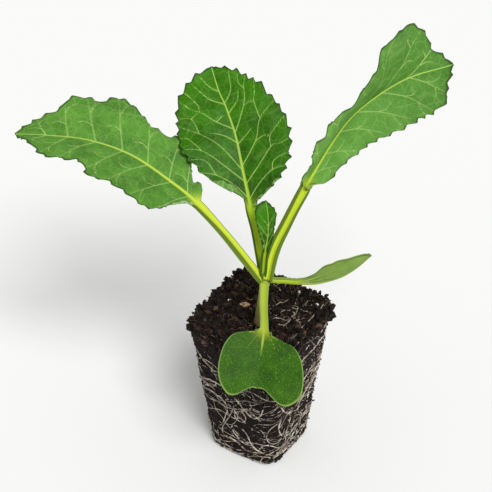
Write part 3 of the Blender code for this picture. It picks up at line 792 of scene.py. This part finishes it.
leaf("centre_leaf", (centre_top_painted_shade, centre_under), "leaf_centre",
     stalk=[(3.2, -4.6, 80), (-1.2, -2.2, 92)],
     midrib=[(-5.4, 0, 102), (-11, 3.5, 113), (-17.7, 8.6, 123.7), (-24.5, 12.5, 131.6),
             (-29.5, 15.2, 135.8), (-35.5, 19.6, 141.5)],
     stalk_half=[1.7, 1.45, 1.35, 1.8], stalk_depth=2.0,
     left=[(0, 1.8), (5, 2.2), (10.5, 5.6), (13.4, 12.4), (18.4, 16.5), (25, 19.8), (34, 19.2),
           (42, 17.2), (48, 12.5), (52.5, 6.5)],
     right=[(0, 1.8), (4, 3.8), (6.7, 9.2), (12, 15.6), (19.4, 18.5), (27, 19), (35, 16.5),
            (43, 12.8), (49, 9), (52.5, 4)],
     face=[heading(0, -1, 0.3), heading(0, -1, 0.5)],
     slope_left=[(25, 15), (15, 5), (8, 0), (5, 0)],
     slope_right=[(25, 15), (15, 5), (8, 0), (5, 0)],
     veins=CENTRE_VEINS, teeth=(1.5, 4.2), ruffle=(0.35, 15), vein_width=0.17,
     midrib_width=0.65)

# Left leaf -----------------------------------------------------------------------------------
# The oldest true leaf on the left: long stalk, long blade held out flat and drooping a little at
# its tip, with a lobed, shallowly toothed margin. A thin grey bloom of wax dulls its green.


def forked(starts, ends, sign):
    """Side veins from the midrib at starts to the margin at ends, each forked near its end."""
    made = []
    for start, (far, out) in zip(starts, ends):
        turn_at = (start + 0.42 * (far - start), sign * 0.36 * out)
        fork = (start + 0.68 * (far - start), sign * 0.64 * out)
        made.append([(start, 0), turn_at, fork, (far, sign * out)])
        made.append([fork, (fork[0] - 0.5, fork[1] + sign * 0.2 * out),
                     (far - 4.5, sign * 0.97 * out)])
        made.append([turn_at, (turn_at[0] + 3, turn_at[1] + sign * 0.06 * out),
                     (turn_at[0] + 5.5, turn_at[1] - sign * 0.02 * out)])
    return made


outer_top = leaf_skin("outer_leaf_upper_skin", "#2e660d", "#569429", "#a4c66c", "#c5d53c",
                      "#2a4614", mesh_vein=0.2, bloom=0.06, rough=0.55, stipple=0.3, slant=0.2)
outer_under = leaf_skin("outer_leaf_lower_skin", "#6d9457", "#8db072", "#c6d6a8", "#92ac2e",
                        "#4c6b38", mesh_vein=0.4, bloom=0.15, rough=0.65, slant=0.2)
leaf("left_leaf", (outer_top, outer_under), "leaf_left",
     stalk=[(3.9, -6.9, 79.6), (-3.8, -8.9, 89.4), (-10.6, -10.7, 97.5)],
     midrib=[(-19.2, -12.8, 106), (-27.5, -14.7, 112), (-42.3, -18.5, 120.5),
             (-57, -23.5, 124.5), (-70.5, -29, 125), (-83, -33.5, 124)],
     stalk_half=[1.6, 1.4, 1.35, 1.8], stalk_depth=2.2,
     left=[(0, 1.8), (4, 4.5), (7, 10.5), (11, 18), (17, 21.5), (25, 20.5), (31, 19.8), (37, 21),
           (41, 17), (50, 14), (55, 14.5), (64, 7)],
     right=[(0, 1.8), (3.5, 7), (7, 6), (11, 11), (18, 17), (23, 14.5), (28, 14.8), (36, 18.5),
            (42, 20.8), (47, 17.2), (50, 18), (56, 16.5), (59, 10.5), (66, 7.8), (70, 3.5)],
     face=[heading(0.3, -0.25, 1), heading(0, -0.25, 1)],
     slope_left=[(13, 13), (13, 13)], slope_right=[(13, 13), (13, 13)],
     veins=(forked((4, 12, 22, 32, 42, 52, 60),
                   ((10, 17), (20, 21), (30, 20), (39, 19), (51, 14), (58, 12), (65, 6)), -1)
            + forked((5, 13, 22, 32, 42, 52, 60),
                     ((11, 11), (19, 16.5), (29, 15), (41, 20.5), (50, 18), (57, 15), (66, 7.5)), 1)),
     teeth=(1.3, 5.5), ruffle=(0.7, 21), vein_width=0.18, midrib_width=0.7, blade_rows=270,
     halves=62)

# Right leaf ----------------------------------------------------------------------------------
# The other outer leaf: folded up along its midrib, so that its left half stands as a steep wall
# whose margin rolls outwards, while the right half lies open. It opens flat towards the tip.

# the same skin with painted sheen: a painted pale shine at the base, where the folded walls
# catch the light at a slant, and dark green beyond
folded_top_painted_sheen = leaf_skin("folded_leaf_upper_skin_painted_sheen", "#6aa541", "#2c6808", "#a4c66c", "#c5d53c",
                       "#2a4614", mesh_vein=0.2, bloom=0.06, rough=0.55, stipple=0.3, slant=0.75)
leaf("right_leaf", (folded_top_painted_sheen, outer_under), "leaf_right",
     stalk=[(5.0, -5.8, 79.3), (4.6, -0.7, 88.9), (6.3, 4.2, 97.5)],
     midrib=[(10, 10.9, 111), (15, 20.5, 126.5), (19.7, 28.7, 135.7), (28.8, 42.3, 143.8),
             (40.8, 55.9, 147.6)],
     stalk_half=[1.8, 1.5, 1.5, 1.9], stalk_depth=2.3,
     left=[(0, 1.9), (2, 4.6), (5, 5.6), (10, 9.4), (15, 13), (20, 14.2), (28, 15.6), (38, 18.4),
           (46, 19.6), (53, 19.2), (58.5, 16.8), (62, 13), (63.5, 7.5), (67, 4)],
     right=[(2, 1.9), (3, 3.6), (5, 6), (9, 7.4), (14, 7.8), (19.5, 9.6), (31, 12.6), (40, 14.8),
            (49, 15.4), (57, 15), (62.5, 12.5), (63.2, 9.5), (66, 5.2)],
     face=[heading(-0.6, -0.6, 0.6), heading(-0.3, -1, 0.7), heading(0, -1, 0.8),
           heading(0, -0.8, 1)],
     slope_left=[(70, 60, 40, 20, 20), (92, 88, 50, 20, 10), (92, 90, 70, 20, -20),
                 (90, 90, 88, 70, 0), (82, 82, 80, 70, 20), (66, 62, 58, 56, 40),
                 (38, 34, 32, 30, 20), (10, 10, 5, 5, 5)],
     slope_right=[(15, 5), (8, 5), (5, 5)],
     veins=(forked((6, 15, 24, 32, 41, 52),
                   ((16, 14), (28, 17), (40, 19), (50, 19), (62, 16), (64, 8)), -1)
            + forked((5, 13, 22, 31, 42, 53),
                     ((12, 6), (20, 8.5), (33, 11.5), (45, 13.5), (56, 15), (63.5, 10)), 1)),
     teeth=(1.2, 5.5), ruffle=(0.5, 18), vein_width=0.18, midrib_width=0.7, blade_rows=270,
     halves=62)

# Youngest leaf -------------------------------------------------------------------------------
# A leaf 29 mm long that still stands half folded in the middle of the crown.

# it wears the centre leaf's skins, so its base too is darkened partly by painted shade
leaf("youngest_leaf", (centre_top_painted_shade, centre_under), "leaf_young",
     stalk=[(3.5, -6.1, 80.3)],
     midrib=[(4.2, -6, 90), (4.9, -5.2, 97.7), (3.7, -3.5, 104.6), (2, -2.2, 109)],
     stalk_half=[0.8, 0.9], stalk_depth=1.4,
     left=[(0, 0.9), (4, 1), (8, 3.2), (13, 4.6), (17, 4.6), (19.5, 2.6)],
     right=[(0, 0.9), (5, 1.8), (10, 2.2), (16, 3)],
     face=[heading(0, -1, 0.3), heading(0, -1, 0.4)],
     slope_left=[(40, 40), (30, 30), (20, 20)], slope_right=[(40, 40), (30, 30), (20, 20)],
     veins=[[(3, 0), (6, -1.6), (9, -3)], [(7, 0), (10, -2.2), (13.5, -4.4)], [(11, 0), (17, -4.4)],
            [(3, 0), (6, 1), (9, 1.9)], [(7, 0), (12, 2.3)], [(11, 0), (16, 2.8)]],
     teeth=(0.4, 2.4), ruffle=(0.1, 6), pucker=0.15, vein_width=0.09, midrib_width=0.3,
     glow=1.0, reach=4, stalk_rows=30, blade_rows=100, halves=24)

# Front seed leaf -----------------------------------------------------------------------------
# A cotyledon, heart-shaped with a notch at its tip, thicker and darker than a true leaf and with
# no visible mesh of veins. It hangs on its short pale stalk over the plug's front corner.

front_top = leaf_skin("front_seed_leaf_upper_skin", "#204503", "#346206", "#83a83c", "#a2b134",
                      "#86a552", mesh_vein=0.03, rough=0.5, stipple=0.65, slant=0.1)
seed_under = leaf_skin("seed_leaf_lower_skin", "#64852c", "#84a346", "#a6b96c", "#a3b932",
                       "#3d5220", mesh_vein=0.1, bloom=0.04, rough=0.6, stipple=0.2, slant=0.1)
leaf("front_seed_leaf", (front_top, seed_under), "cotyledon_front",
     stalk=[(4.9, -7.2, 78.8), (7.5, -11.7, 73.3)],
     midrib=[(12.1, -18.4, 68.9), (15, -24.8, 62.5), (17.8, -31.4, 53.6)],
     stalk_half=[1.35, 1.2, 1.05, 1.2], stalk_depth=1.7,
     left=[(0, 1.2), (2.2, 2.5), (4, 7), (6, 11.5), (11, 14.5), (18, 15.7), (23, 14.8),
           (26, 11.2), (25.6, 8), (23.2, 5), (21.3, 2.5)],
     right=[(0, 1.2), (1.6, 3.1), (2.2, 7), (4, 10.8), (8.5, 13.4), (15, 14.3), (20.3, 13.1),
            (24, 10.2), (24.2, 7.4), (22.4, 4.6), (21.1, 2.2)],
     face=[heading(0, -0.6, 1), heading(0, -1, 0.9), heading(0, -1, 0.66)],
     slope_left=[(5, 5), (5, 5)], slope_right=[(5, 5), (5, 5)],
     veins=[[(1, 0.5), (4, 3), (7, 4.5)], [(1, -0.5), (4, -3), (7, -4.5)]],
     ruffle=(0.15, 14), pucker=0.12, blade=0.6, vein_width=0.1, midrib_width=0.5,
     midrib_end=0.5, reach=14, sweep=1.3, stalk_rows=30, blade_rows=130, halves=46)

# Right seed leaf -----------------------------------------------------------------------------
# The other cotyledon, turned on its stalk so that its paler underside shows from the front.

leaf("right_seed_leaf", (front_top, seed_under), "cotyledon_right",
     stalk=[(5.4, -4.4, 79.2), (9, -1.2, 78.6)],
     midrib=[(12.4, 2, 77.2), (18.1, 6.5, 76.3), (24.3, 11.4, 78), (28.8, 15.3, 81.5),
             (32.8, 18.8, 86.6)],
     stalk_half=[1.3, 1.1, 1.2, 1.6], stalk_depth=1.7,
     left=[(0, 1.6), (2.5, 3.2), (6, 6.5), (12, 10), (17, 11), (22, 9.6), (26.5, 6.6), (29, 3)],
     right=[(0, 1.6), (2.5, 3.2), (6, 6), (11, 9.6), (17, 11), (22, 10), (26.5, 7.6), (29.5, 4)],
     face=[heading(0, 0.8, 1), heading(0, 1, 1), heading(-0.4, 1, 1), heading(-0.6, 0.8, 1)],
     slope_left=[(15, 5), (15, 5)], slope_right=[(20, 25), (15, 25)],
     veins=[[(1, 0.5), (7, 4.5), (15, 7)], [(1, 0.5), (8, 2.5), (18, 4)],
            [(1, -0.5), (7, -4.5), (15, -7)]],
     ruffle=(0.15, 14), pucker=0.12, blade=0.6, vein_width=0.2, reach=13,
     sweep=1.3, stalk_rows=30, blade_rows=120, halves=42)

# Floor and lights ----------------------------------------------------------------------------
# A plain near-white floor, one wide soft lamp high on the +X side, and an even white surround.

floor_paint, tree, shader = new_material("floor_paint")
shader.inputs["Base Color"].default_value = linear("#f6f6f5")
shader.inputs["Roughness"].default_value = 0.95
shader.inputs["Specular IOR Level"].default_value = 0.1
bpy.ops.mesh.primitive_plane_add(size=12)
floor = bpy.context.object
floor.name = "floor"
floor.data.materials.append(floor_paint)

bpy.ops.object.light_add(type="SUN", location=(0.7, -0.45, 0.9))
lamp = bpy.context.object
lamp.name = "soft_lamp"
lamp.data.energy = 2.5
lamp.data.angle = math.radians(28)
lamp.rotation_euler = lamp.location.to_track_quat("Z", "Y").to_euler()
world = bpy.data.worlds.new("surround")
world.use_nodes = True
world.node_tree.nodes["Background"].inputs["Color"].default_value = (1, 1, 1, 1)
world.node_tree.nodes["Background"].inputs["Strength"].default_value = 0.46
bpy.context.scene.world = world
bpy.context.scene.view_settings.view_transform = "Standard"

bpy.context.view_layer.update()
